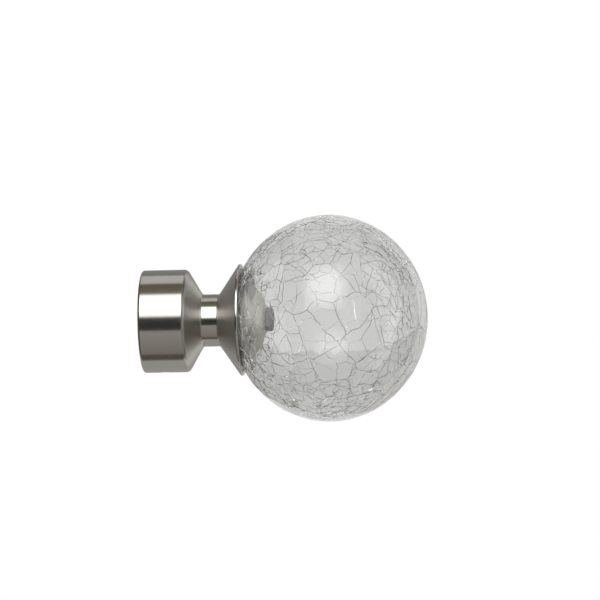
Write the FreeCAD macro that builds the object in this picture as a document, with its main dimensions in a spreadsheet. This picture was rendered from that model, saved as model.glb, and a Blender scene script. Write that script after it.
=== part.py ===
"""Crackled glass ball finial for a 28 mm curtain pole, in millimetres.

A turned satin nickel end cap slips over the pole and is pinned by a grub screw underneath. Its neck
flares into a shallow dish. A hollow crackled glass globe stands in the dish on a ground flat, cemented
round a metal insert, and one screw through the neck draws the insert down by a nut held in its crown.

The pole runs along X. The origin is the middle of the socket floor, where the pole end butts, with +X
towards the globe and +Z up.
"""
import FreeCAD, Part
import math
import os
import random

import Sketcher

# Crack cells seen from the side, as shares of the globe's radius right of and above its middle
SEEN_CELLS = [
    (-0.16, 0.91), (0.09, 0.89), (0.36, 0.87), (-0.54, 0.79), (-0.38, 0.75), (0.27, 0.75), (0.48, 0.70),
    (-0.05, 0.68), (0.67, 0.59), (-0.60, 0.50), (0.18, 0.50), (-0.35, 0.48), (0.43, 0.48), (0.60, 0.42),
    (0.77, 0.40), (-0.07, 0.36), (0.35, 0.31), (0.21, 0.29), (-0.35, 0.28), (-0.54, 0.24), (0.52, 0.19),
    (0.73, 0.19), (-0.05, 0.17), (0.42, 0.14), (-0.26, 0.12), (0.16, 0.11), (0.29, 0.11), (-0.58, 0.03),
    (-0.39, 0.03), (-0.05, 0.03), (0.77, -0.01), (-0.17, -0.13), (0.04, -0.13), (0.23, -0.13),
    (0.72, -0.15), (-0.35, -0.18), (0.59, -0.18), (-0.64, -0.22), (-0.48, -0.23), (0.43, -0.23),
    (-0.18, -0.28), (0.77, -0.30), (0.10, -0.31), (0.23, -0.32), (-0.46, -0.43), (0.61, -0.44),
    (-0.26, -0.45), (-0.62, -0.48), (0.29, -0.49), (-0.05, -0.50), (0.14, -0.50), (0.42, -0.56),
    (0.59, -0.60), (-0.38, -0.69), (-0.13, -0.71), (0.40, -0.71), (0.06, -0.77), (0.23, -0.77),
    (-0.24, -0.86), (0.29, -0.88), (0.05, -0.91)]
# Degrees that the view of those cells is turned about Z, towards the globe's end
SIGHT_TURN = 5.5
# How near two cells may lie, as a share of the crack spacing
CLOSEST_SHARE = 0.75
CRACK_SEED = 28

doc = FreeCAD.newDocument("finial")
sheet = doc.addObject("Spreadsheet::Sheet", "Sizes")

# Driving dimensions
DRIVING = {
    "pole_diameter": 28.0,
    "pole_clearance": 0.3,
    "collar_wall": 3.15,
    "socket_depth": 13.2,
    "collar_length": 15.2,
    "shoulder_length": 5.0,
    "neck_diameter": 17.6,
    "neck_length": 5.8,
    "flare_length": 6.85,
    "rim_diameter": 37.6,
    "rim_width": 0.7,
    "lip_wall": 1.4,
    "lip_height": 0.6,
    "mouth_round": 0.8,
    "entry_chamfer": 0.6,
    "shoulder_round": 1.8,
    "neck_round": 0.8,
    "rim_chamfer": 0.15,
    "grub_diameter": 4.0,
    "grub_length": 3.0,
    "grub_from_mouth": 7.0,
    "grub_setback": 0.05,
    "grub_key": 2.0,
    "grub_key_depth": 1.4,
    "grub_chamfer": 0.4,
    "thread_gap": 0.05,
    "screw_diameter": 4.0,
    "screw_standout": 0.3,
    "screw_clearance": 0.5,
    "screw_chamfer": 0.5,
    "head_diameter": 7.0,
    "head_height": 4.0,
    "head_recess": 5.7,
    "head_clearance": 0.9,
    "head_chamfer": 0.4,
    "head_key": 3.0,
    "head_key_depth": 2.0,
    "nut_width": 7.0,
    "nut_height": 3.2,
    "nut_clearance": 0.2,
    "nut_standout": 1.6,
    "nut_chamfer": 0.45,
    "insert_length": 9.15,
    "crown_height": 6.5,
    "cement_gap": 0.15,
    "opening_diameter": 26.8,
    "globe_diameter": 69.6,
    "globe_length": 66.4,
    "glass_wall": 2.9,
    "ground_depth": 3.35,
    "crack_width": 0.4,
    "crack_depth": 0.55,
    "crack_spacing": 10.0,
}

# Places and radii that follow from them, along X from the mouth of the collar.
# The globe's oval is drawn with arcs that meet on the slope of a 3-4-5 triangle, so 1.5 and 2 times the
# flattening set their centres, and 0.6 and 0.8 of the end radius set where they meet.
DERIVED = {
    "bore_radius": "pole_diameter / 2 + pole_clearance / 2",
    "collar_radius": "bore_radius + collar_wall",
    "neck_radius": "neck_diameter / 2",
    "rim_radius": "rim_diameter / 2",
    "lip_radius": "rim_radius - lip_wall",
    "neck_start": "collar_length + shoulder_length",
    "neck_end": "neck_start + neck_length",
    "rim_start": "neck_end + flare_length",
    "rim_end": "rim_start + rim_width",
    "dish_floor": "rim_end - lip_height",
    "head_seat": "socket_depth + head_recess",
    "head_bore": "head_diameter / 2 + head_clearance / 2",
    "shank_bore": "screw_diameter / 2 + screw_clearance / 2",
    "grub_bore": "grub_diameter / 2 + thread_gap",
    "nut_bore": "screw_diameter / 2 + thread_gap",
    "opening_radius": "opening_diameter / 2",
    "insert_radius": "opening_radius - cement_gap",
    "insert_end": "dish_floor + insert_length",
    "insert_shoulder": "insert_length - crown_height",
    "crown_radius": "( insert_radius ^ 2 + crown_height ^ 2 ) / ( 2 * crown_height )",
    "crown_centre": "insert_length - crown_radius",
    "crown_bore": "crown_centre + sqrt( crown_radius ^ 2 - shank_bore ^ 2 )",
    "nut_end": "insert_end + nut_standout",
    "nut_seat": "nut_end - nut_height",
    "nut_pocket": "insert_end - nut_seat",
    "nut_corner": "nut_width / sqrt(3)",
    "screw_end": "nut_end + screw_standout",
    "screw_length": "screw_end - head_seat",
    "globe_axial": "globe_length / 2",
    "globe_radius": "globe_diameter / 2",
    "globe_centre": "dish_floor - ground_depth + globe_axial",
    "flattening": "globe_radius - globe_axial",
    "end_offset": "1.5 * flattening",
    "end_radius": "globe_axial + end_offset",
    "waist_offset": "2 * flattening",
    "waist_radius": "globe_radius - waist_offset",
    "join_along": "0.6 * end_radius - end_offset",
    "join_radius": "0.8 * end_radius",
    "end_radius_inside": "end_radius - glass_wall",
    "waist_radius_inside": "waist_radius - glass_wall",
    "join_along_inside": "0.6 * end_radius_inside - end_offset",
    "join_radius_inside": "0.8 * end_radius_inside",
    "flat_along": "globe_axial - ground_depth",
    "flat_radius": "sqrt( end_radius ^ 2 - ( flat_along + end_offset ) ^ 2 )",
    "opening_along": "sqrt( end_radius_inside ^ 2 - opening_radius ^ 2 ) - end_offset",
}


def fill_sheet():
    """Write the driving numbers and the formulas below them, one aliased cell each."""
    for row, (alias, number) in enumerate(DRIVING.items(), start=1):
        sheet.set(f"A{row}", alias)
        sheet.set(f"B{row}", str(number))
        sheet.setAlias(f"B{row}", alias)
    for row, (alias, formula) in enumerate(DERIVED.items(), start=len(DRIVING) + 1):
        sheet.set(f"A{row}", alias)
        sheet.set(f"B{row}", f"={formula}")
        sheet.setAlias(f"B{row}", alias)
    doc.recompute()


def value(formula):
    """The number that a formula over the sheet's aliases comes to."""
    return float(sheet.evalExpression(bound(formula)))


def bound(formula):
    """A formula over plain aliases, written so that another object can be bound to it."""
    words = formula.replace("(", "( ").replace(")", " )").split()
    names = DRIVING.keys() | DERIVED.keys()
    return " ".join(f"Sizes.{word}" if word in names else word for word in words)


def new_body(name, along=None, across=None):
    """An empty body, shifted along X and Z by two formulas."""
    body = doc.addObject("PartDesign::Body", name)
    body.Label = name
    if along:
        body.setExpression("Placement.Base.x", bound(along))
    if across:
        body.setExpression("Placement.Base.z", bound(across))
    return body


def new_sketch(body, name, plane):
    """A sketch on one of the body's own origin planes."""
    sketch = body.newObject("Sketcher::SketchObject", name)
    support = next(item for item in body.Origin.OriginFeatures if item.Role == plane)
    sketch.AttachmentSupport = [(support, "")]
    sketch.MapMode = "FlatFace"
    return sketch


def pin_point(sketch, geometry, position, place):
    """Tie a sketch point to a pair of formulas, or to an axis where one of them is zero."""
    horizontal_axis, vertical_axis, root, start = -1, -2, -1, 1
    for kind, axis, formula in zip(("DistanceX", "DistanceY"), (vertical_axis, horizontal_axis), place):
        if formula == "0":
            sketch.addConstraint(Sketcher.Constraint("PointOnObject", geometry, position, axis))
            continue
        number = value(formula)
        index = sketch.addConstraint(Sketcher.Constraint(kind, root, start, geometry, position, number))
        sketch.setExpression(f"Constraints[{index}]", bound(formula))


def draw_outline(sketch, corners, arcs=None):
    """A closed outline through corners given as pairs of formulas.

    The runs are straight, but a run whose first corner's number is in arcs is an arc with the centre
    and radius formulas kept there.
    """
    arcs = arcs or {}
    start, end = 1, 2
    points = [FreeCAD.Vector(value(x), value(y), 0) for x, y in corners]
    ends = []
    for index, point in enumerate(points):
        following = points[(index + 1) % len(points)]
        if index not in arcs:
            sketch.addGeometry(Part.LineSegment(point, following), False)
            ends.append((start, end))
            continue
        centre_x, centre_y, radius = arcs[index]
        centre = FreeCAD.Vector(value(centre_x), value(centre_y), 0)
        angles = [math.atan2(spot.y - centre.y, spot.x - centre.x) for spot in (point, following)]
        rising = (point - centre).cross(following - centre).z > 0
        circle = Part.Circle(centre, FreeCAD.Vector(0, 0, 1), value(radius))
        sketch.addGeometry(Part.ArcOfCircle(circle, *(angles if rising else angles[::-1])), False)
        ends.append((start, end) if rising else (end, start))
        limit = sketch.addConstraint(Sketcher.Constraint("Radius", index, value(radius)))
        sketch.setExpression(f"Constraints[{limit}]", bound(radius))
    for index, corner in enumerate(corners):
        before = (index - 1) % len(corners)
        first, last = ends[index][0], ends[before][1]
        sketch.addConstraint(Sketcher.Constraint("Coincident", before, last, index, first))
        pin_point(sketch, index, first, corner)


def draw_circle(sketch, centre, radius):
    """A circle with its centre and radius given as formulas."""
    middle = 3
    place = FreeCAD.Vector(value(centre[0]), value(centre[1]), 0)
    circle = Part.Circle(place, FreeCAD.Vector(0, 0, 1), value(radius))
    index = sketch.addGeometry(circle, False)
    pin_point(sketch, index, middle, centre)
    limit = sketch.addConstraint(Sketcher.Constraint("Radius", index, value(radius)))
    sketch.setExpression(f"Constraints[{limit}]", bound(radius))


def draw_hexagon(sketch, width):
    """A hexagon round the sketch's origin, with its width across flats given as a formula."""
    flat, corner = f"{width} / 2", f"{width} / sqrt( 3 )"
    half = f"{width} / sqrt( 12 )"
    draw_outline(sketch, [("0", corner), (flat, half), (flat, f"-1 * {half}"), ("0", f"-1 * {corner}"),
                          (f"-1 * {flat}", f"-1 * {half}"), (f"-1 * {flat}", half)])


def turn(body, name, corners, arcs=None, kind="PartDesign::Revolution"):
    """Turn an outline of X and radius about the X axis, adding or cutting."""
    sketch = new_sketch(body, f"{name}_outline", "XZ_Plane")
    draw_outline(sketch, corners, arcs)
    feature = body.newObject(kind, name)
    feature.Profile = sketch
    feature.ReferenceAxis = (sketch, ["H_Axis"])
    doc.recompute()
    return feature


def sink(body, name, sketch, depth, reverse):
    """Cut a sketch into the body to a depth given as a formula."""
    uncut = body.Shape.Volume
    cut = body.newObject("PartDesign::Pocket", name)
    cut.Profile = sketch
    cut.setExpression("Length", bound(depth))
    cut.Reversed = reverse
    doc.recompute()
    if body.Shape.Volume >= uncut:
        raise RuntimeError(f"{name} cut nothing")
    return cut


def ring_edges(feature, places):
    """Names of the circular edges round X that lie at the given X and radius formulas."""
    tolerance = 1e-4
    wanted = [(value(x), value(radius)) for x, radius in places]
    found = []
    for index, edge in enumerate(feature.Shape.Edges, start=1):
        if not isinstance(edge.Curve, Part.Circle):
            continue
        for x, radius in wanted:
            if abs(edge.Curve.Center.x - x) < tolerance and abs(edge.Curve.Radius - radius) < tolerance:
                found.append(f"Edge{index}")
    return found


def ease(body, name, kind, places, amount):
    """Fillet or chamfer the ring edges at the given places by a formula."""
    base = body.Tip
    dress = body.newObject(kind, name)
    dress.Base = (base, ring_edges(base, places))
    dress.setExpression("Radius" if kind.endswith("Fillet") else "Size", bound(amount))
    doc.recompute()
    return dress


def make_turned_body():
    """End cap, neck and dish, turned from one bar, with the socket, screw bores and grub hole."""
    body = new_body("turned_body", along="-1 * socket_depth")
    turn(body, "bar", [
        ("0", "bore_radius"), ("socket_depth", "bore_radius"), ("socket_depth", "head_bore"),
        ("head_seat", "head_bore"), ("head_seat", "shank_bore"), ("dish_floor", "shank_bore"),
        ("dish_floor", "lip_radius"), ("rim_end", "lip_radius"), ("rim_end", "rim_radius"),
        ("rim_start", "rim_radius"), ("neck_end", "neck_radius"), ("neck_start", "neck_radius"),
        ("collar_length", "collar_radius"), ("0", "collar_radius")])
    ease(body, "mouth_edge", "PartDesign::Fillet", [("0", "collar_radius")], "mouth_round")
    ease(body, "shoulder_edge", "PartDesign::Fillet",
         [("collar_length", "collar_radius")], "shoulder_round")
    ease(body, "neck_edges", "PartDesign::Fillet",
         [("neck_start", "neck_radius"), ("neck_end", "neck_radius")], "neck_round")
    ease(body, "rim_edges", "PartDesign::Chamfer",
         [("rim_end", "rim_radius"), ("rim_start", "rim_radius"), ("rim_end", "lip_radius")], "rim_chamfer")
    ease(body, "socket_entry", "PartDesign::Chamfer", [("0", "bore_radius")], "entry_chamfer")
    hole = new_sketch(body, "grub_hole_circle", "XY_Plane")
    draw_circle(hole, ("grub_from_mouth", "0"), "grub_bore")
    sink(body, "grub_hole", hole, "collar_radius + collar_wall", reverse=False)
    return body


def make_grub_screw():
    """Flat point grub screw, its outer end just under the collar's skin."""
    body = new_body("grub_screw", along="grub_from_mouth - socket_depth",
                    across="-1 * bore_radius - grub_setback")
    rod = new_sketch(body, "rod_circle", "XY_Plane")
    draw_circle(rod, ("0", "0"), "grub_diameter / 2")
    pad = body.newObject("PartDesign::Pad", "rod")
    pad.Profile = rod
    pad.setExpression("Length", bound("grub_length"))
    pad.Reversed = True
    doc.recompute()
    ends = [f"Edge{index}" for index, edge in enumerate(pad.Shape.Edges, start=1)
            if isinstance(edge.Curve, Part.Circle)]
    point = body.newObject("PartDesign::Chamfer", "ends")
    point.Base = (pad, ends)
    point.setExpression("Size", bound("grub_chamfer"))
    doc.recompute()
    key = new_sketch(body, "key_hexagon", "XY_Plane")
    key.setExpression("AttachmentOffset.Base.z", bound("-1 * grub_length"))
    draw_hexagon(key, "grub_key")
    sink(body, "key", key, "grub_key_depth", reverse=True)
    return body


def make_centre_screw():
    """Socket head machine screw, its head sunk below the socket floor."""
    body = new_body("centre_screw", along="head_seat - socket_depth")
    turn(body, "blank", [
        ("-1 * head_height", "0"), ("-1 * head_height", "head_diameter / 2"), ("0", "head_diameter / 2"),
        ("0", "screw_diameter / 2"), ("screw_length", "screw_diameter / 2"), ("screw_length", "0")])
    ease(body, "point", "PartDesign::Chamfer", [("screw_length", "screw_diameter / 2")], "screw_chamfer")
    ease(body, "head_edge", "PartDesign::Chamfer",
         [("-1 * head_height", "head_diameter / 2")], "head_chamfer")
    key = new_sketch(body, "key_hexagon", "YZ_Plane")
    key.setExpression("AttachmentOffset.Base.z", bound("-1 * head_height"))
    draw_hexagon(key, "head_key")
    sink(body, "key", key, "head_key_depth", reverse=True)
    return body


def make_held_nut():
    """Hexagon nut with chamfered corners, let into the insert's crown."""
    body = new_body("held_nut", along="nut_seat - socket_depth")
    outline = new_sketch(body, "nut_hexagon", "YZ_Plane")
    draw_hexagon(outline, "nut_width")
    pad = body.newObject("PartDesign::Pad", "blank")
    pad.Profile = outline
    pad.setExpression("Length", bound("nut_height"))
    doc.recompute()
    for name, face, inner in (("near_corners", "0", "nut_chamfer"),
                              ("far_corners", "nut_height", "nut_height - nut_chamfer")):
        turn(body, name, [(face, "nut_width / 2"), (face, "nut_corner + nut_chamfer"),
                          (inner, "nut_corner + nut_chamfer"), (inner, "nut_corner")],
             kind="PartDesign::Groove")
    bore = new_sketch(body, "bore_circle", "YZ_Plane")
    draw_circle(bore, ("0", "0"), "nut_bore")
    sink(body, "bore", bore, "nut_height", reverse=True)
    return body


def make_globe_insert():
    """Turned plug with a domed crown that fills the globe's opening and keeps the nut from turning."""
    body = new_body("globe_insert", along="dish_floor - socket_depth")
    turn(body, "plug", [
        ("0", "shank_bore"), ("crown_bore", "shank_bore"),
        ("insert_shoulder", "insert_radius"), ("0", "insert_radius")],
        arcs={1: ("crown_centre", "0", "crown_radius")})
    pocket = new_sketch(body, "nut_pocket_hexagon", "YZ_Plane")
    pocket.setExpression("AttachmentOffset.Base.z", bound("insert_length"))
    draw_hexagon(pocket, "( nut_width + nut_clearance )")
    sink(body, "nut_pocket_cut", pocket, "nut_pocket", reverse=False)
    return body


def make_globe_blank():
    """Hollow globe, an oval of arcs round X, ground flat in the dish and drilled for the insert."""
    blank = new_body("globe_blank", along="globe_centre - socket_depth")
    corners = [
        ("globe_axial", "0"), ("join_along", "join_radius"), ("-1 * join_along", "join_radius"),
        ("-1 * flat_along", "flat_radius"), ("-1 * flat_along", "opening_radius"),
        ("-1 * opening_along", "opening_radius"), ("-1 * join_along_inside", "join_radius_inside"),
        ("join_along_inside", "join_radius_inside"), ("globe_axial - glass_wall", "0")]
    near, far, waist = ("end_offset", "0"), ("-1 * end_offset", "0"), ("0", "waist_offset")
    turn(blank, "blown_shell", corners, arcs={
        0: (*far, "end_radius"), 1: (*waist, "waist_radius"), 2: (*near, "end_radius"),
        5: (*near, "end_radius_inside"), 6: (*waist, "waist_radius_inside"),
        7: (*far, "end_radius_inside")})
    return blank


def cell_seeds():
    """Unit vectors from the globe's middle to the crack cells: those seen, then the rest evenly spread."""
    turned = math.radians(SIGHT_TURN)
    right = FreeCAD.Vector(math.cos(turned), math.sin(turned), 0)
    front = FreeCAD.Vector(math.sin(turned), -math.cos(turned), 0)
    up = FreeCAD.Vector(0, 0, 1)
    seeds = []
    for across, above in SEEN_CELLS:
        depth = math.sqrt(1 - across ** 2 - above ** 2)
        seeds.append(right * across + up * above + front * depth)
    spacing = value("crack_spacing / globe_radius")
    count = round(4 * math.pi / spacing ** 2)
    golden_angle = math.pi * (3 - math.sqrt(5))
    chance = random.Random(CRACK_SEED)
    for index in range(count):
        along = 1 - 2 * (index + 0.5) / count
        out = math.sqrt(1 - along ** 2)
        round_x = index * golden_angle
        spot = FreeCAD.Vector(along, out * math.cos(round_x), out * math.sin(round_x))
        spot += FreeCAD.Vector(*(chance.uniform(-spacing, spacing) / 2 for axis in range(3)))
        spot.normalize()
        if all((spot - seed).Length > spacing * CLOSEST_SHARE for seed in seeds):
            seeds.append(spot)
    return seeds


def clip(polygon, limit, east, north, owner):
    """Keep the part of a flat polygon where limit, less east and north times the point, is positive."""
    kept = []
    for (point, tag), (following, _) in zip(polygon, polygon[1:] + polygon[:1]):
        here = limit - east * point[0] - north * point[1]
        there = limit - east * following[0] - north * following[1]
        if here >= 0:
            kept.append((point, tag))
        if (here >= 0) != (there >= 0):
            share = here / (here - there)
            crossing = tuple(a + share * (b - a) for a, b in zip(point, following))
            kept.append((crossing, owner if here >= 0 else tag))
    return kept


def crack_runs(seeds):
    """Pairs of unit vectors, the ends of each border between two cells, a cell being nearest its seed."""
    # Half the side of a square wide enough to hold any cell, and a direction that no seed points in
    reach = 2.0
    skew = FreeCAD.Vector(0.31, 0.87, 0.39)
    runs = []
    for index, seed in enumerate(seeds):
        east = seed.cross(skew).normalize()
        north = seed.cross(east)
        square = ((-reach, -reach), (reach, -reach), (reach, reach), (-reach, reach))
        polygon = [(corner, None) for corner in square]
        for other, rival in enumerate(seeds):
            if other != index:
                polygon = clip(polygon, 1 - seed.dot(rival), east.dot(rival), north.dot(rival), other)
        for (point, owner), (following, _) in zip(polygon, polygon[1:] + polygon[:1]):
            if owner is not None and owner > index:
                ends = (seed + east * x + north * y for x, y in (point, following))
                runs.append(tuple(end.normalize() for end in ends))
    return runs


def skin_point(direction):
    """The point of the globe's outer oval that lies in a direction from its middle."""
    along, out = abs(direction.x), math.sqrt(1 - direction.x ** 2)
    for centre_x, centre_r, radius in ((-value("end_offset"), 0, value("end_radius")),
                                       (0, value("waist_offset"), value("waist_radius"))):
        lean = along * centre_x + out * centre_r
        reach = lean + math.sqrt(lean ** 2 + radius ** 2 - centre_x ** 2 - centre_r ** 2)
        if reach * along >= value("join_along"):
            break
    return direction * reach


def crack_blade(start, end, width, depth):
    """A straight wedge, at its full width halfway, whose ends lie at a depth below the globe's skin."""
    bow = (start - end).Length ** 2 / (4 * (start + end).Length)
    slope = width / 2 / (depth + bow)
    clear = depth + 2 * bow
    keels = [spot * (1 - depth / spot.Length) for spot in (start, end)]
    crests = [spot * (1 + clear / spot.Length) for spot in (start, end)]
    run = (keels[1] - keels[0]).normalize()
    side = start.cross(end).normalize()
    near, far = [], []
    for ring, keel, crest in ((near, keels[0], crests[0]), (far, keels[1], crests[1])):
        rise = (crest - keels[0]).cross(run).Length
        spread = side * (rise * slope)
        ring += [keel, crest + spread, crest - spread]
    faces = [near, far[::-1]]
    faces += [[near[i], near[i - 1], far[i - 1], far[i]] for i in range(len(near))]
    return Part.Solid(Part.Shell([Part.Face(Part.makePolygon(face + face[:1])) for face in faces]))


def make_crackle():
    """The crack network as one tool, a wedge along each border that stays clear of the dish."""
    width, depth = value("crack_width"), value("crack_depth")
    lip = value("rim_end - globe_centre")
    blades = []
    for run in crack_runs(cell_seeds()):
        start, end = (skin_point(direction) for direction in run)
        if (end - start).Length > 2 * width and min(start.x, end.x) > lip:
            blades.append(crack_blade(start, end, width, depth))
    crackle = doc.addObject("Part::Feature", "crackle")
    crackle.Shape = blades[0].multiFuse(blades[1:])
    crackle.setExpression("Placement.Base.x", bound("globe_centre - socket_depth"))
    return crackle


def make_glass_globe():
    """The blown globe with the crack network cut into its skin."""
    globe = doc.addObject("Part::Cut", "glass_globe")
    globe.Label = "glass_globe"
    globe.Base, globe.Tool = make_globe_blank(), make_crackle()
    doc.recompute()
    if globe.Shape.Volume >= globe.Base.Shape.Volume:
        raise RuntimeError("the crack network cut nothing")
    return globe


fill_sheet()
parts = [make_turned_body(), make_grub_screw(), make_centre_screw(), make_held_nut(), make_globe_insert(),
         make_glass_globe()]
doc.recompute()

for item in doc.Objects:
    if "Invalid" in item.State or "Error" in item.State:
        raise RuntimeError(f"{item.Name} failed: {item.State}")
for part in parts:
    if part.Shape.isNull() or not part.Shape.isValid():
        raise RuntimeError(f"{part.Label} has no sound shape")

os.makedirs("parts", exist_ok=True)
for part in parts:
    part.Shape.exportStep(f"parts/{part.Label}.step")
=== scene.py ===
"""Looks of a curtain pole finial: satin nickel end cap and neck, and a globe of crackled clear glass."""

import itertools
import math
import random

import bmesh
import bpy
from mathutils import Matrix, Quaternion, Vector, kdtree, noise


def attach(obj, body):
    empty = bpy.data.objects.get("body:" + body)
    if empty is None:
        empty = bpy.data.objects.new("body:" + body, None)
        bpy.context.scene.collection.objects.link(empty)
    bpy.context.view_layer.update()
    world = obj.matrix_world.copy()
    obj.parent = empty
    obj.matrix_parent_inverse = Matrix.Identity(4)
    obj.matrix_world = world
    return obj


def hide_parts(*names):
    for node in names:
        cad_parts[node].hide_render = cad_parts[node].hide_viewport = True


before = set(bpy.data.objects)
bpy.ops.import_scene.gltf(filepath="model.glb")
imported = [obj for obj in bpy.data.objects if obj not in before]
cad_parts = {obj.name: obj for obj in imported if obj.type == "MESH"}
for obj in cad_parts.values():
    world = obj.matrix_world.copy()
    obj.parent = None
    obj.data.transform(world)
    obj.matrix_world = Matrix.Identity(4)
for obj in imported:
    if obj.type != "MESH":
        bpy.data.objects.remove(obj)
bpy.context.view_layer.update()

MM = 0.001

# Crack cells seen from the side, as shares of the globe's radius right of and above its middle
SEEN_CELLS = [
    (-0.16, 0.91), (0.09, 0.89), (0.36, 0.87), (-0.54, 0.79), (-0.38, 0.75), (0.27, 0.75), (0.48, 0.70),
    (-0.05, 0.68), (0.67, 0.59), (-0.60, 0.50), (0.18, 0.50), (-0.35, 0.48), (0.43, 0.48), (0.60, 0.42),
    (0.77, 0.40), (-0.07, 0.36), (0.35, 0.31), (0.21, 0.29), (-0.35, 0.28), (-0.54, 0.24), (0.52, 0.19),
    (0.73, 0.19), (-0.05, 0.17), (0.42, 0.14), (-0.26, 0.12), (0.16, 0.11), (0.29, 0.11), (-0.58, 0.03),
    (-0.39, 0.03), (-0.05, 0.03), (0.77, -0.01), (-0.17, -0.13), (0.04, -0.13), (0.23, -0.13),
    (0.72, -0.15), (-0.35, -0.18), (0.59, -0.18), (-0.64, -0.22), (-0.48, -0.23), (0.43, -0.23),
    (-0.18, -0.28), (0.77, -0.30), (0.10, -0.31), (0.23, -0.32), (-0.46, -0.43), (0.61, -0.44),
    (-0.26, -0.45), (-0.62, -0.48), (0.29, -0.49), (-0.05, -0.50), (0.14, -0.50), (0.42, -0.56),
    (0.59, -0.60), (-0.38, -0.69), (-0.13, -0.71), (0.40, -0.71), (0.06, -0.77), (0.23, -0.77),
    (-0.24, -0.86), (0.29, -0.88), (0.05, -0.91)]
# Degrees towards the globe's tip that the side is seen from
SIGHT_TURN = 5.5
# How far apart the other cells lie, and the share of it that they keep from any cell before them
CRACK_SPACING = 10.0 * MM
CLOSEST_SHARE = 0.75
CRACK_SEED = 28

# Globe, an oval of two end arcs and two waist arcs, turned round X
GLOBE_CENTRE = Vector((49.6 * MM, 0, 0))
GLOBE_RADIUS = 34.8 * MM
GLOBE_AXIAL = 33.2 * MM
GLASS_WALL = 2.9 * MM
GROUND_DEPTH = 3.35 * MM
OPENING_RADIUS = 13.4 * MM
FLATTENING = GLOBE_RADIUS - GLOBE_AXIAL
END_OFFSET = 1.5 * FLATTENING
END_RADIUS = GLOBE_AXIAL + END_OFFSET
WAIST_OFFSET = 2 * FLATTENING
WAIST_RADIUS = GLOBE_RADIUS - WAIST_OFFSET
# Share along X of the way out to where an end arc meets a waist arc
ARCS_MEET = END_OFFSET / math.hypot(END_OFFSET, WAIST_OFFSET)
FLAT_ALONG = GLOBE_AXIAL - GROUND_DEPTH

# Cracks as they show, and how far they keep from the ground foot
CRACK_WIDTH = 0.2 * MM
CRACK_DEPTH = 0.3 * MM
CRACK_CLEAR = 1.0 * MM
# How far open the cracks are on average round cells and splinters, how much that swings and over what length,
# how much less it is on the far side, and from where on a crack shows
CELL_OPEN, SPLINTER_OPEN = 0.75, 0.7
OPEN_SWING = 0.9
FADE_LENGTH = 6.0 * MM
FAR_SIDE_SHUT = 0.2
FAINTEST = 0.15
# Splinter cracks are finer than those round the cells, and cracks go deeper where the globe is shattered
SPLINTER_WIDTH = 0.8
SHATTER_DEPTH = 1.0
# A cut that passes a point this near goes through it
SLIVER = 0.12 * MM
# How far the cracks stray from straight, and over what length, for the long bends and the short kinks
WAVERS = ((1.8 * MM, 9 * MM), (0.55 * MM, 2.4 * MM))
# Where the globe is broken least, right of and above its middle like the cells, and how fast that ends
CALM_SPOT = (-0.18, 0.12)
CALM_INSIDE, CALM_OUTSIDE = 0.88, 0.5
# Where the shattered ring round the foot begins and is full, along X
FOOT_BEGINS, FOOT_FULL = -0.66, -0.78
# Where the globe grows calm again towards its tip, along X
TIP_BEGINS, TIP_CALM = 0.88, 0.95
# Where the ring of cells round the foot lies along X, how many it holds, and how much wider its cracks are
FOOT_RING, FOOT_CELLS, FOOT_WIDER = -0.77, 11, 0.8
# The most splinters that a cell breaks into
MOST_SPLINTERS = 36
# How far splinters lie from their cell's middle along X, Y and Z, and how far round the foot
SPLINTER_SPREAD = (0.18, 0.18, 0.18)
FOOT_SPREAD = (0.1, 0.04, 0.04)
# How nearly a face lies along the oval, as a cosine, to be shaded as its smooth skin
SKIN_FACING = 0.97


def colour(code):
    """Linear colour, with alpha, of an sRGB hex code."""
    shares = [int(code[i:i + 2], 16) / 255 for i in (1, 3, 5)]
    return [s / 12.92 if s <= 0.04045 else ((s + 0.055) / 1.055) ** 2.4 for s in shares] + [1.0]


def add_node(tree, kind, inputs=None, **settings):
    """A node with its settings, its inputs given as values or as the sockets that feed them."""
    made = tree.nodes.new(kind)
    for name, setting in settings.items():
        setattr(made, name, setting)
    for socket, source in (inputs or {}).items():
        if isinstance(source, bpy.types.NodeSocket):
            tree.links.new(source, made.inputs[socket])
        else:
            made.inputs[socket].default_value = source
    return made


def new_material(name):
    """An empty material, its node tree and its Principled shader."""
    made = bpy.data.materials.new(name)
    made.use_nodes = True
    return made, made.node_tree, made.node_tree.nodes["Principled BSDF"]


def set_shader(tree, shader, **inputs):
    """Set or link the shader's sockets, named with underscores for spaces."""
    for name, source in inputs.items():
        socket = shader.inputs[name.replace("_", " ")]
        if isinstance(source, bpy.types.NodeSocket):
            tree.links.new(source, socket)
        else:
            socket.default_value = source


def lathe_rings(tree, ring):
    """Noise that runs in rings round X, the ring width given, as turning leaves them."""
    place = add_node(tree, "ShaderNodeTexCoord").outputs["Object"]
    parts = add_node(tree, "ShaderNodeSeparateXYZ", {"Vector": place}).outputs
    across = add_node(tree, "ShaderNodeCombineXYZ", {"Y": parts["Y"], "Z": parts["Z"]}).outputs["Vector"]
    radius = add_node(tree, "ShaderNodeVectorMath", {0: across}, operation="LENGTH").outputs["Value"]
    rings = add_node(tree, "ShaderNodeCombineXYZ", {"X": parts["X"], "Y": radius}).outputs["Vector"]
    return add_node(tree, "ShaderNodeTexNoise", {"Vector": rings, "Scale": 1 / ring, "Detail": 3.0},
                    noise_dimensions="2D").outputs["Fac"]


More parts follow.
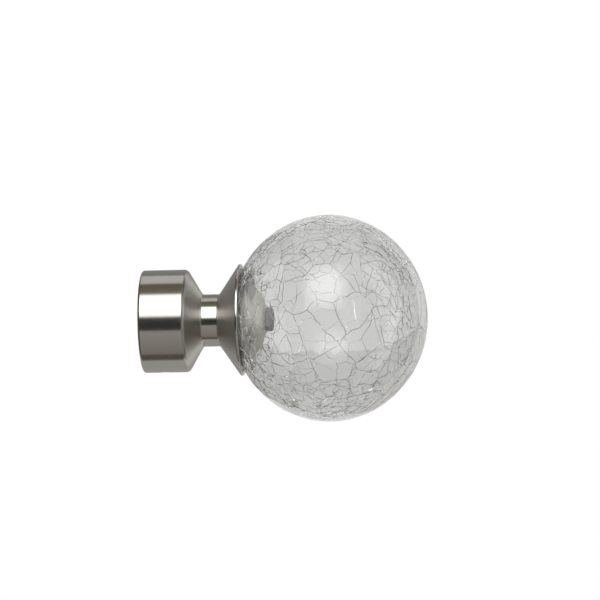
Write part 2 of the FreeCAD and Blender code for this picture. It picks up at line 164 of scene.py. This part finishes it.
def satin_nickel():
    """Nickel plate over turned brass: warm grey, its gleam drawn out along the axis, the cones more satin."""
    made, tree, shader = new_material("satin_nickel_plate")
    rings = lathe_rings(tree, 0.25 * MM)
    polish = add_node(tree, "ShaderNodeMapRange", {"Value": rings, "To Min": 0.14, "To Max": 0.2})
    facing = add_node(tree, "ShaderNodeTexCoord").outputs["Normal"]
    along = add_node(tree, "ShaderNodeSeparateXYZ", {"Vector": facing}).outputs["X"]
    tilt = add_node(tree, "ShaderNodeMath", {0: along}, operation="ABSOLUTE").outputs["Value"]
    coarser = add_node(tree, "ShaderNodeMapRange",
                       {"Value": tilt, "From Min": 0.3, "From Max": 0.8, "To Max": 0.2})
    rough = add_node(tree, "ShaderNodeMath", {0: polish.outputs["Result"], 1: coarser.outputs["Result"]})
    bump = add_node(tree, "ShaderNodeBump", {"Height": rings, "Distance": 0.0006 * MM, "Strength": 0.5})
    tangent = add_node(tree, "ShaderNodeTangent", direction_type="RADIAL", axis="X")
    set_shader(tree, shader, Base_Color=colour("#CBC8C3"), Metallic=1.0, Roughness=rough.outputs["Value"],
               Normal=bump.outputs["Normal"], Anisotropic=0.4, Anisotropic_Rotation=0.25,
               Tangent=tangent.outputs["Tangent"])
    return made


def dull_aluminium():
    """Aluminium as turned and left dull: a plain mid grey with faint rings."""
    made, tree, shader = new_material("turned_aluminium")
    rings = lathe_rings(tree, 0.3 * MM)
    rough = add_node(tree, "ShaderNodeMapRange", {"Value": rings, "To Min": 0.4, "To Max": 0.55})
    set_shader(tree, shader, Base_Color=colour("#CAC9C4"), Metallic=1.0, Roughness=rough.outputs["Result"])
    return made


def zinc_steel():
    """Zinc plated steel screws, dulled by handling: dark grey with a cloudy gleam."""
    made, tree, shader = new_material("zinc_plated_steel")
    place = add_node(tree, "ShaderNodeTexCoord").outputs["Object"]
    cloud = add_node(tree, "ShaderNodeTexNoise", {"Vector": place, "Scale": 1 / (1.5 * MM)}).outputs["Fac"]
    rough = add_node(tree, "ShaderNodeMapRange", {"Value": cloud, "To Min": 0.3, "To Max": 0.5})
    set_shader(tree, shader, Base_Color=colour("#949390"), Metallic=1.0, Roughness=rough.outputs["Result"])
    return made


def blown_glass():
    """Clear soda glass, mouth blown: light grey in its depth, its skin very slightly wavy."""
    made, tree, shader = new_material("blown_soda_glass")
    place = add_node(tree, "ShaderNodeTexCoord").outputs["Object"]
    swell = add_node(tree, "ShaderNodeTexNoise", {"Vector": place, "Scale": 1 / (9 * MM)}).outputs["Fac"]
    bump = add_node(tree, "ShaderNodeBump", {"Height": swell, "Distance": 0.15 * MM, "Strength": 0.5})
    set_shader(tree, shader, Base_Color=colour("#F5F5F4"), Roughness=0.0, IOR=1.5, Transmission_Weight=1.0,
               Normal=bump.outputs["Normal"])
    depth = add_node(tree, "ShaderNodeVolumeAbsorption", {"Color": colour("#767675"), "Density": 54.0})
    tree.links.new(depth.outputs["Volume"], tree.nodes["Material Output"].inputs["Volume"])
    return made


def fractured_glass():
    """Broken faces inside the cracks: nearly clear where the globe is calm, frosted in spots elsewhere."""
    made, tree, shader = new_material("fractured_glass")
    place = add_node(tree, "ShaderNodeTexCoord").outputs["Object"]
    grain = add_node(tree, "ShaderNodeTexNoise", {"Vector": place, "Scale": 1 / (2.5 * MM)}).outputs["Fac"]
    spots = add_node(tree, "ShaderNodeMapRange", {"Value": grain, "From Min": 0.44, "From Max": 0.56})
    shattered = add_node(tree, "ShaderNodeAttribute", attribute_name="shatter").outputs["Fac"]
    frost = add_node(tree, "ShaderNodeMath", {0: spots.outputs["Result"], 1: shattered},
                     operation="MULTIPLY").outputs["Value"]
    clean = add_node(tree, "ShaderNodeMapRange", {"Value": shattered, "To Min": 0.22, "To Max": 0.02})
    rough = add_node(tree, "ShaderNodeMapRange",
                     {"Value": frost, "To Min": clean.outputs["Result"], "To Max": 0.6})
    clear = add_node(tree, "ShaderNodeMapRange", {"Value": frost, "To Min": 0.75, "To Max": 0.1})
    set_shader(tree, shader, Base_Color=colour("#F2F3F0"), Roughness=rough.outputs["Result"], IOR=1.5,
               Transmission_Weight=clear.outputs["Result"])
    return made


def reach(direction, less=0.0):
    """How far the globe's skin lies from its middle, or the skin of an oval smaller all round."""
    along, out = abs(direction.x), math.sqrt(max(0, 1 - direction.x ** 2))
    for centre_x, centre_r, radius in ((-END_OFFSET, 0, END_RADIUS - less),
                                       (0, WAIST_OFFSET, WAIST_RADIUS - less)):
        lean = along * centre_x + out * centre_r
        far = lean + math.sqrt(lean ** 2 + radius ** 2 - centre_x ** 2 - centre_r ** 2)
        if far * along >= ARCS_MEET * (END_RADIUS - less) - END_OFFSET:
            break
    return far


def oval_normal(spot):
    """The way that the globe's skin faces at a spot given from its middle."""
    side = math.copysign(1, spot.x)
    from_end = Vector((spot.x + side * END_OFFSET, spot.y, spot.z))
    if abs(from_end.x) >= ARCS_MEET * from_end.length:
        return from_end.normalized()
    out = math.hypot(spot.y, spot.z)
    return Vector((spot.x, *(part * (1 - WAIST_OFFSET / out) for part in spot.yz))).normalized()


def seen_at(across, above):
    """Unit vector from the globe's middle to a spot seen from the side."""
    turned = math.radians(SIGHT_TURN)
    right = Vector((math.cos(turned), math.sin(turned), 0))
    front = Vector((math.sin(turned), -math.cos(turned), 0))
    return right * across + Vector((0, 0, above)) + front * math.sqrt(1 - across ** 2 - above ** 2)


def cell_seeds():
    """Unit vectors from the globe's middle to its cells: those seen, a ring round the foot, the rest."""
    seeds = [seen_at(*place) for place in SEEN_CELLS]
    for index in range(FOOT_CELLS):
        around = 2 * math.pi * index / FOOT_CELLS
        out = math.sqrt(1 - FOOT_RING ** 2)
        seeds.append(Vector((FOOT_RING, out * math.cos(around), out * math.sin(around))))
    spacing = CRACK_SPACING / GLOBE_RADIUS
    count = round(4 * math.pi / spacing ** 2)
    golden_angle = math.pi * (3 - math.sqrt(5))
    chance = random.Random(CRACK_SEED)
    for index in range(count):
        along = 1 - 2 * (index + 0.5) / count
        out = math.sqrt(1 - along ** 2)
        spot = Vector((along, out * math.cos(index * golden_angle), out * math.sin(index * golden_angle)))
        spot += Vector([chance.uniform(-spacing, spacing) / 2 for axis in range(3)])
        spot.normalize()
        if all((spot - seed).length > spacing * CLOSEST_SHARE for seed in seeds):
            seeds.append(spot)
    return seeds


def nearest(seeds):
    """A finder of the seed that a point lies nearest."""
    tree = kdtree.KDTree(len(seeds))
    for index, seed in enumerate(seeds):
        tree.insert(seed, index)
    tree.balance()
    return lambda spot: tree.find(spot.normalized())[1]


def cut_cells(skin, faces, seeds):
    """Cut faces of the skin along the borders between cells round some seeds, and give each cell's faces."""
    owner = nearest(seeds)
    groups = {}
    for face in faces:
        shared = tuple(sorted({owner(vert.co) for vert in face.verts}))
        groups.setdefault(shared, []).append(face)
    cells = {}
    for shared, pieces in groups.items():
        for first, second in itertools.combinations(shared, 2):
            edges = dict.fromkeys(edge for face in pieces for edge in face.edges)
            verts = dict.fromkeys(vert for face in pieces for vert in face.verts)
            cut = bmesh.ops.bisect_plane(
                skin, geom=[*verts, *edges, *pieces], dist=SLIVER, use_snap_center=True,
                plane_co=(0, 0, 0), plane_no=seeds[first] - seeds[second])
            pieces = [item for item in cut["geom"] if isinstance(item, bmesh.types.BMFace)]
        for face in pieces:
            cells.setdefault(owner(face.calc_center_median()), []).append(face)
    return cells


def near_foot(direction):
    """How far a direction points into the shattered ring round the foot, from 0 to 1."""
    return min(max((FOOT_BEGINS - direction.x) / (FOOT_BEGINS - FOOT_FULL), 0), 1)


def shatter(direction):
    """How finely the globe is broken in a direction, from 0 at the calm spot and opposite it to 1."""
    calm = abs(direction.dot(seen_at(*CALM_SPOT)))
    away = (CALM_INSIDE - calm) / (CALM_INSIDE - CALM_OUTSIDE)
    tip = (TIP_CALM - direction.x) / (TIP_CALM - TIP_BEGINS)
    return max(min(max(away, near_foot(direction)), tip, 1), 0)


def break_up(skin):
    """Cut the skin into cells, and shattered cells into splinters, each with its cell's number."""
    chance = random.Random(CRACK_SEED)
    seeds = cell_seeds()
    pieces = []
    for index, faces in cut_cells(skin, skin.faces[:], seeds).items():
        count = 1 + round(shatter(seeds[index]) * chance.uniform(0, MOST_SPLINTERS - 1))
        spread = FOOT_SPREAD if seeds[index].x < FOOT_BEGINS else SPLINTER_SPREAD
        strays = [Vector([chance.gauss(0, share) for share in spread]) for splinter in range(count)]
        spots = [(seeds[index] + stray).normalized() for stray in strays]
        splinters = cut_cells(skin, faces, spots).values() if count > 1 else [faces]
        pieces += [(index, splinter) for splinter in splinters]
    return pieces


def oval_ball(less, opening):
    """A ball of even triangles drawn out to the globe's oval, or a smaller one, cut off flat at its foot."""
    made = bmesh.new()
    bmesh.ops.create_icosphere(made, subdivisions=6, radius=1.0)
    for vert in made.verts:
        vert.co *= reach(vert.co, less)
    bmesh.ops.bisect_plane(made, geom=made.verts[:] + made.edges[:] + made.faces[:], dist=SLIVER,
                           use_snap_center=True, plane_co=(-opening, 0, 0), plane_no=(-1, 0, 0),
                           clear_outer=True)
    return made


def openness(spot, average):
    """How far a crack stands open at a spot, from 0 to 1: it comes and goes, and is shut near the foot."""
    swing = average + OPEN_SWING * noise.noise(spot / FADE_LENGTH) - FAR_SIDE_SHUT * spot.y / GLOBE_RADIUS
    clear = (spot.x + FLAT_ALONG) / CRACK_CLEAR - 1
    return min(max(swing, 0), 1) * min(max(clear, 0), 1)


def waver(skin):
    """Shift the skin's points along it, so that its straight cuts wander."""
    noise.seed_set(CRACK_SEED)
    for vert in skin.verts:
        if not vert.is_boundary:
            stray = sum((noise.noise_vector(vert.co / length) * far for far, length in WAVERS), Vector())
            direction = (vert.co + stray).normalized()
            vert.co = direction * reach(direction)


def press_cracks(skin, pieces, average, shattered):
    """Open a fine crack round each piece of the skin, wider and deeper between two cells than within one."""
    cells = {}
    for cell, faces in pieces:
        for vert in itertools.chain.from_iterable(face.verts for face in faces):
            cells.setdefault(vert, set()).add(cell)
    for vert, touched in cells.items():
        vert[average] = CELL_OPEN if len(touched) > 1 else SPLINTER_OPEN
    cracked = {}
    for cell, faces in pieces:
        middle = faces[0].calc_center_median().normalized()
        wide = CRACK_WIDTH * (1 + FOOT_WIDER * near_foot(middle))
        rim = bmesh.ops.inset_region(skin, faces=faces, thickness=wide / 2, use_boundary=False)
        cracked.update(dict.fromkeys(rim["faces"]))
    keels = dict.fromkeys(vert for vert in skin.verts
                          if not vert.is_boundary and all(face in cracked for face in vert.link_faces))
    for face in cracked:
        opened = max((openness(vert.co, vert[average]) for vert in face.verts if vert in keels), default=0)
        face.material_index = int(opened > FAINTEST)
    for vert in keels:
        for edge in vert.link_edges:
            brink = edge.other_vert(vert)
            if brink not in keels and vert[average] == brink[average] < CELL_OPEN:
                brink.co = vert.co.lerp(brink.co, SPLINTER_WIDTH)
    for vert in skin.verts:
        if not vert.is_boundary:
            direction = vert.co.normalized()
            vert[shattered] = shatter(direction) + near_foot(direction)
            depth = CRACK_DEPTH * openness(vert.co, vert[average]) if vert in keels else 0
            vert.co = direction * (reach(direction) - depth * (1 + SHATTER_DEPTH * vert[shattered]))
    skin.verts.layers.float.remove(average)


def shade_smooth(mesh):
    """Give the globe's skins the facing of a true oval, and leave its cracks and foot flat."""
    facings = []
    for face in mesh.polygons:
        face.use_smooth = True
        plain = face.normal.copy()
        for loop in face.loop_indices:
            curved = oval_normal(mesh.vertices[mesh.loops[loop].vertex_index].co)
            curved *= math.copysign(1, curved.dot(plain))
            skin = face.material_index == 0 and curved.dot(plain) > SKIN_FACING
            facings.append(curved if skin else plain)
    mesh.normals_split_custom_set(facings)


def make_globe(glass, fracture):
    """Hollow globe, its skin cut into cells with a fine crack round each, ground flat at its foot."""
    opening = math.sqrt((END_RADIUS - GLASS_WALL) ** 2 - OPENING_RADIUS ** 2) - END_OFFSET
    skin = oval_ball(0, FLAT_ALONG)
    skin.verts.layers.float.new("average_opening")
    skin.verts.layers.float.new("shatter")
    average, shattered = skin.verts.layers.float.values()
    pieces = break_up(skin)
    waver(skin)
    press_cracks(skin, pieces, average, shattered)
    brim = [edge for edge in skin.edges if edge.is_boundary]
    for item in bmesh.ops.extrude_edge_only(skin, edges=brim)["geom"]:
        if isinstance(item, bmesh.types.BMVert):
            item.co.yz = item.co.yz.normalized() * OPENING_RADIUS
        if isinstance(item, bmesh.types.BMFace):
            item.material_index = 1
    inside = oval_ball(GLASS_WALL, opening)
    lining = bpy.data.meshes.new("lining")
    inside.to_mesh(lining)
    inside.free()
    skin.from_mesh(lining)
    bpy.data.meshes.remove(lining)
    bmesh.ops.bridge_loops(skin, edges=[edge for edge in skin.edges if edge.is_boundary])
    bmesh.ops.recalc_face_normals(skin, faces=skin.faces)
    if skin.calc_volume(signed=True) < 0:
        bmesh.ops.reverse_faces(skin, faces=skin.faces)
    mesh = bpy.data.meshes.new("crackled_globe")
    skin.to_mesh(mesh)
    skin.free()
    mesh.materials.append(glass)
    mesh.materials.append(fracture)
    shade_smooth(mesh)
    for vert in mesh.vertices:
        vert.co += GLOBE_CENTRE
    globe = bpy.data.objects.new("crackled_globe", mesh)
    bpy.context.scene.collection.objects.link(globe)
    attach(globe, "root")
    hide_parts("glass_globe")
    return globe


def set_camera():
    """Camera level with the pole, turned a little towards the globe's end."""
    # What one point of the picture spans at the finial, and how many points wide the picture is
    pixel, frame_width = 0.3365 * MM, 600
    distance = 1.2
    turn = math.radians(5.0)
    roll = math.radians(-1.15)
    sensor = 36.0
    target = Vector((39.9 * MM, 0, 6.3 * MM))
    back = Vector((math.sin(turn), -math.cos(turn), 0))
    lens = bpy.data.cameras.new("photo_camera")
    lens.sensor_width = sensor
    lens.lens = sensor * distance / (frame_width * pixel)
    camera = bpy.data.objects.new("photo_camera", lens)
    camera.location = target + back * distance
    camera.rotation_mode = "QUATERNION"
    camera.rotation_quaternion = (-back).to_track_quat("-Z", "Y") @ Quaternion((0, 0, 1), roll)
    bpy.context.scene.collection.objects.link(camera)
    bpy.context.scene.camera = camera


def set_world():
    """White all round, as in a light tent."""
    world = bpy.data.worlds.new("light_tent")
    bpy.context.scene.world = world
    world.use_nodes = True
    backdrop = world.node_tree.nodes["Background"]
    backdrop.inputs["Color"].default_value = colour("#FFFFFF")
    backdrop.inputs["Strength"].default_value = 1.0


def set_softbox():
    """One large soft lamp in front and above, brightest in its middle."""
    lamp = bpy.data.lights.new("softbox", "AREA")
    lamp.use_nodes = True
    tree = lamp.node_tree
    place = add_node(tree, "ShaderNodeNewGeometry").outputs["Parametric"]
    off_middle = add_node(tree, "ShaderNodeVectorMath", {0: place, 1: (0.5, 0.5, 0)}, operation="DISTANCE")
    level = add_node(tree, "ShaderNodeMapRange",
                     {"Value": off_middle.outputs["Value"], "From Min": 0.15, "From Max": 0.6,
                      "To Min": 1.2, "To Max": 0.15}, interpolation_type="SMOOTHSTEP")
    tree.links.new(level.outputs["Result"], tree.nodes["Emission"].inputs["Strength"])
    lamp.shape = "RECTANGLE"
    lamp.size = 1.0
    lamp.size_y = 0.95
    lamp.energy = 7.0
    lit = Vector((20 * MM, 0, 0))
    right, raised, distance = math.radians(3), math.radians(37), 1.0
    away = Vector((math.sin(right) * math.cos(raised), -math.cos(right) * math.cos(raised),
                   math.sin(raised)))
    softbox = bpy.data.objects.new("softbox", lamp)
    softbox.location = lit + away * distance
    softbox.rotation_mode = "QUATERNION"
    softbox.rotation_quaternion = away.to_track_quat("Z", "Y")
    bpy.context.scene.collection.objects.link(softbox)


def flat_board(name, corners):
    """A four-cornered board on the stage."""
    board = bmesh.new()
    board.faces.new([board.verts.new(corner) for corner in corners])
    mesh = bpy.data.meshes.new(name)
    board.to_mesh(mesh)
    board.free()
    made = bpy.data.objects.new(name, mesh)
    bpy.context.scene.collection.objects.link(made)
    return made


def studio_card(name, corners, shades, strength=1.0, through=False):
    """A board with a shade at each corner that shows only as a gleam, or only through the glass."""
    card = flat_board(name, corners)
    tint = card.data.color_attributes.new("shade", "FLOAT_COLOR", "POINT")
    for corner, shade in zip(tint.data, shades):
        corner.color = colour(shade)
    made, tree, shader = new_material(name)
    shade = add_node(tree, "ShaderNodeAttribute", attribute_name="shade").outputs["Color"]
    set_shader(tree, shader, Base_Color=colour("#000000"), Specular_IOR_Level=0.0, Emission_Color=shade,
               Emission_Strength=strength)
    card.data.materials.append(made)
    card.visible_camera = False
    card.visible_diffuse = False
    card.visible_shadow = False
    card.visible_glossy = not through
    card.visible_transmission = through


def end_corners(at, front, back, low, high):
    """Corners of an upright board square to the pole's line."""
    return [(at, front, low), (at, back, low), (at, back, high), (at, front, high)]


def set_cards():
    """The studio as metal and glass show it: strips along the finial, boards and lights at its ends."""
    far, near = 1.4, 0.06
    wide, behind_metal, left, right = (-2.5, 2.5), (-0.06, 0.0195), (-2.5, -0.3), (0.1, 2.5)
    # How far away each strip is, its span along X, and the shades at its first and last elevation in degrees
    strips = {
        "dark_strip": (far, wide, -20, "#403F3D", 10, "#3A3938"),
        "ceiling_strip": (far, wide, 64, "#7C7768", 94, "#66614F"),
        "pale_strip": (far, wide, 94, "#D2D0CD", 124, "#D2D0CD"),
        "upper_back_strip": (near, behind_metal, 110, "#8C8A88", 180, "#989694"),
        "lower_back_strip": (near, behind_metal, 180, "#A2A09D", 275, "#B2B0AD"),
        "left_back_strip": (far, left, 126, "#CECCC9", 262, "#CECCC9"),
        "right_back_strip": (far, right, 126, "#DEDCD9", 262, "#DEDCD9"),
        # Straight below: a dark strip that stands in for the finial's own shadow on the floor, a painted
        # shadow that shows only in reflections
        "painted_shadow_strip": (far, wide, 263, "#5A534D", 281, "#625C56"),
        "low_strip": (far, wide, 281, "#8A8680", 340, "#A6A4A0")}
    for name, (distance, (start, end), first, first_shade, last, last_shade) in strips.items():
        rows = [(-distance * math.cos(math.radians(angle)), distance * math.sin(math.radians(angle)))
                for angle in (first, last)]
        studio_card(name, [(start, *rows[0]), (end, *rows[0]), (end, *rows[1]), (start, *rows[1])],
                    [first_shade, first_shade, last_shade, last_shade])
    board_at, light_at, light_half, light_low, light_high = 0.6, 1.0, 0.3, -0.1, 1.1
    end_shades = {-1: ("#5A5652", "#3C3835"), 1: ("#8C8884", "#625E5A")}
    for side, shades in end_shades.items():
        for front, back, shade in zip((-far, 0), (0, far), shades):
            studio_card("end_board", end_corners(side * board_at, front, back, -far, far), [shade] * 4)
        corners = end_corners(side * light_at, -light_half, light_half, light_low, light_high)
        studio_card("strip_light", corners, ["#FFFFFF"] * 4, strength=2.6, through=True)
    behind, wing, low, edge = 0.5, 0.6, -0.2, -0.031
    studio_card("horizon", [(-wing, behind, low), (wing, behind, low), (wing, behind, edge),
                            (-wing, behind, edge)], ["#EAEAEA"] * 4, through=True)


def set_floor():
    """A plain pale floor well below, which takes the shadow."""
    wide, deep, below = 2.0, 1.5, -0.25
    floor = flat_board("floor", [(-wide, -deep, below), (wide, -deep, below), (wide, deep, below),
                                 (-wide, deep, below)])
    made, tree, shader = new_material("floor")
    set_shader(tree, shader, Base_Color=colour("#DEDDDA"), Roughness=1.0)
    floor.data.materials.append(made)
    floor.visible_glossy = False


set_camera()
set_world()
set_softbox()
set_cards()
set_floor()
nickel, aluminium, zinc = satin_nickel(), dull_aluminium(), zinc_steel()
finishes = {"turned_body": nickel, "globe_insert": aluminium, "grub_screw": zinc, "centre_screw": zinc,
            "held_nut": zinc}
for node, finish in finishes.items():
    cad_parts[node].data.materials[0] = finish
make_globe(blown_glass(), fractured_glass())
bpy.context.scene.view_settings.view_transform = "Standard"
